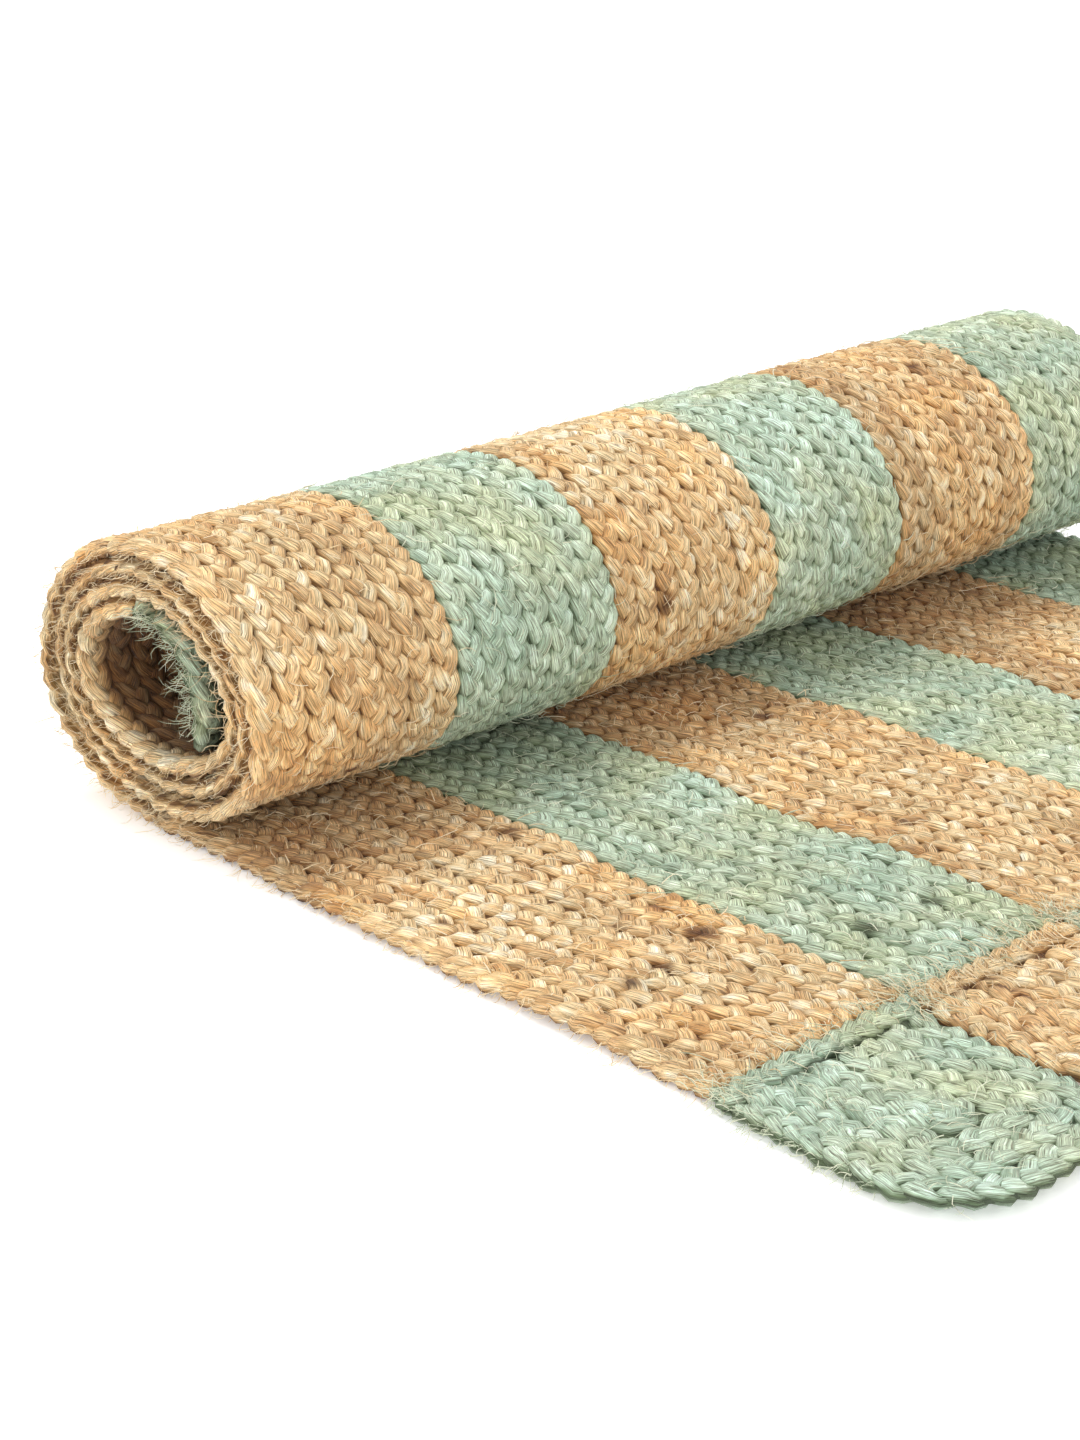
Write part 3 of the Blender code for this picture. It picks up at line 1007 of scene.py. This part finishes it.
def seam_fuzz(stripe, seam_run, count, spread=0.004):
    """Fibres that cross the seam between a stripe and its tab, most of all at its two ends."""
    width = stripe_width(stripe)
    across = random.uniform(0, width, count)
    at_end = random.random(count) < 0.35
    nearest_end = np.where(across > width / 2, width, 0)
    across = np.where(at_end, nearest_end + random.normal(0, 0.004, count), across)
    run = seam_run + random.normal(0, spread, count)
    height = FIBRE_START + random.uniform(0, 0.0008, count)
    heading = random.normal(0, 0.5, count) + np.pi * (random.random(count) < 0.5)
    length = random.gamma(4.0, 0.0018, count)
    radius = random.uniform(0.00010, 0.00022, count)
    return across, run, height, heading, length, radius, np.full(count, FREE_CURL)


def edge_fuzz(stripe, first_run, last_run, far, count):
    """Fibres that stick out of the rug's near or far outer edge."""
    width = stripe_width(stripe)
    across = np.full(count, width - 0.0006 if far else 0.0006)
    run = random.uniform(first_run, last_run, count)
    height = random.uniform(-0.0030, 0.0030, count)
    heading = (1 if far else -1) * np.pi / 2 + random.normal(0, 0.6, count)
    length = random.gamma(4.0, 0.0012, count)
    radius = random.uniform(0.00008, 0.00018, count)
    return across, run, height, heading, length, radius, np.full(count, FREE_CURL)


def whip_threads(stripe, seam_run):
    """Sewing threads wound side by side over a tab's row along the seam."""
    width = stripe_width(stripe)
    across = np.arange(0.003, width - 0.002, 0.0014)
    count = len(across)
    across = across + random.normal(0, 0.0004, count)
    run = seam_run + random.uniform(-0.0006, 0.0012, count)
    height = random.uniform(0.0035, 0.0040, count)
    heading = np.pi + 0.25 + random.normal(0, 0.12, count)
    length = random.uniform(0.008, 0.012, count)
    radius = random.uniform(0.00016, 0.00026, count)
    return across, run, height, heading, length, radius, np.full(count, THREAD_CURL)


def join_columns(*parts):
    return [np.concatenate(column) for column in zip(*parts)]


def flat_tab_length(stripe):
    return NATURAL_FLAT_TAB_LENGTH if is_natural(stripe, True) else GREEN_FLAT_TAB_LENGTH


def make_stripe_fuzz(stripe):
    """Loose fibres of a stripe: where its faces show, at the flat tab's seam and on its outer edge."""
    natural = is_natural(stripe, False)
    parts = [
        surface_fuzz(stripe, 0.002, FLAT_RUN - 0.03, 1, FLAT_DENSITY),
        surface_fuzz(stripe, FLAT_RUN, FIRST_TURN_RUN, -1, ROLL_DENSITY),
        seam_fuzz(stripe, 0.0, STRIPE_SEAM_FIBRES),
    ]
    if stripe in (0, STRIPE_COUNT - 1):
        parts.append(edge_fuzz(stripe, 0.0, WOUND_SEAM_RUN, stripe > 0, STRIPE_EDGE_FIBRES))
    piece = stray_fibres(f"stripe_{stripe + 1}_fuzz", stripe, *join_columns(*parts), FIBRES[natural])
    finish_piece(piece)


def make_tab_fuzz(stripe):
    """Loose fibres of a stripe's flat tab and wound tab, with those over the flat tab's seam."""
    natural = is_natural(stripe, True)
    wound_end = WOUND_SEAM_RUN + WOUND_TAB_LENGTH - 0.01
    parts = [
        surface_fuzz(stripe, -0.002, 0.006 - flat_tab_length(stripe), 1, FLAT_TAB_DENSITY),
        seam_fuzz(stripe, -0.0015, TAB_SEAM_FIBRES),
        seam_fuzz(stripe, -0.0130, SEAM_ROW_FIBRES, 0.002),
        surface_fuzz(stripe, WOUND_SEAM_RUN, wound_end, -1, WOUND_TAB_DENSITY),
        surface_fuzz(stripe, WOUND_SEAM_RUN, wound_end, 1, WOUND_TAB_DENSITY),
    ]
    if natural:
        parts.append(whip_threads(stripe, 0.0))
    if stripe in (0, STRIPE_COUNT - 1):
        far = stripe > 0
        side_end = WOUND_SEAM_RUN + WOUND_TAB_LENGTH - 0.035
        parts.append(edge_fuzz(stripe, -0.08, 0.0, far, FLAT_TAB_EDGE_FIBRES))
        parts.append(edge_fuzz(stripe, WOUND_SEAM_RUN, side_end, far, WOUND_TAB_EDGE_FIBRES))
    piece = stray_fibres(f"tabs_{stripe + 1}_fuzz", stripe, *join_columns(*parts), FIBRES[natural])
    finish_piece(piece)


for index in range(STRIPE_COUNT):
    make_stripe(index)
    make_stripe_fuzz(index)
    make_tab_fuzz(index)
    make_tab(index, "flat_tab", 0.0, -1, flat_tab_length(index), 1, STEP, WHOLE_SIDES)
    make_tab(index, "wound_tab", WOUND_SEAM_RUN, 1, WOUND_TAB_LENGTH, 0, COARSE_STEP, WOUND_TAB_SIDES)


# ---------------------------------------------------------------- floor, light, camera
def make_floor():
    mesh = bpy.data.meshes.new("floor")
    mesh.from_pydata([(-8, -8, 0), (8, -8, 0), (8, 8, 0), (-8, 8, 0)], [], [(0, 1, 2, 3)])
    floor = bpy.data.objects.new("floor", mesh)
    bpy.context.scene.collection.objects.link(floor)
    material = bpy.data.materials.new("pale_floor")
    material.use_nodes = True
    shader = material.node_tree.nodes["Principled BSDF"]
    shader.inputs["Base Color"].default_value = (0.93, 0.93, 0.93, 1)
    shader.inputs["Roughness"].default_value = 0.9
    shader.inputs["Specular IOR Level"].default_value = 0.0
    shader.inputs["Emission Color"].default_value = (1, 1, 1, 1)
    shader.inputs["Emission Strength"].default_value = 0.22
    mesh.materials.append(material)


def make_light():
    world = bpy.data.worlds.new("studio")
    world.use_nodes = True
    background = world.node_tree.nodes["Background"]
    background.inputs["Color"].default_value = (1, 1, 1, 1)
    background.inputs["Strength"].default_value = 1.13
    bpy.context.scene.world = world
    softbox("overhead", (0.1, 0.9, 2.0), 1.0, 22.0)
    softbox("front_fill", (-1.3, -1.9, 0.75), 1.0, 11.0)


def softbox(name, location, size, energy):
    """A square lamp that faces the rug."""
    lamp = bpy.data.lights.new(name, "AREA")
    lamp.shape = "SQUARE"
    lamp.size = size
    lamp.energy = energy
    lit = bpy.data.objects.new(name, lamp)
    lit.location = location
    lit.rotation_euler = (Vector((0, 0, 0.05)) - Vector(location)).to_track_quat("-Z", "Y").to_euler()
    bpy.context.scene.collection.objects.link(lit)


def make_camera():
    data = bpy.data.cameras.new("camera")
    data.lens = 69.03
    data.sensor_width = 36
    camera = bpy.data.objects.new("camera", data)
    camera.location = (-0.9192, -0.7182, 0.4811)
    camera.rotation_euler = (math.radians(68.25), 0, math.radians(-43.22))
    bpy.context.scene.collection.objects.link(camera)
    bpy.context.scene.camera = camera


make_floor()
make_light()
make_camera()
bpy.context.scene.view_settings.view_transform = "Standard"
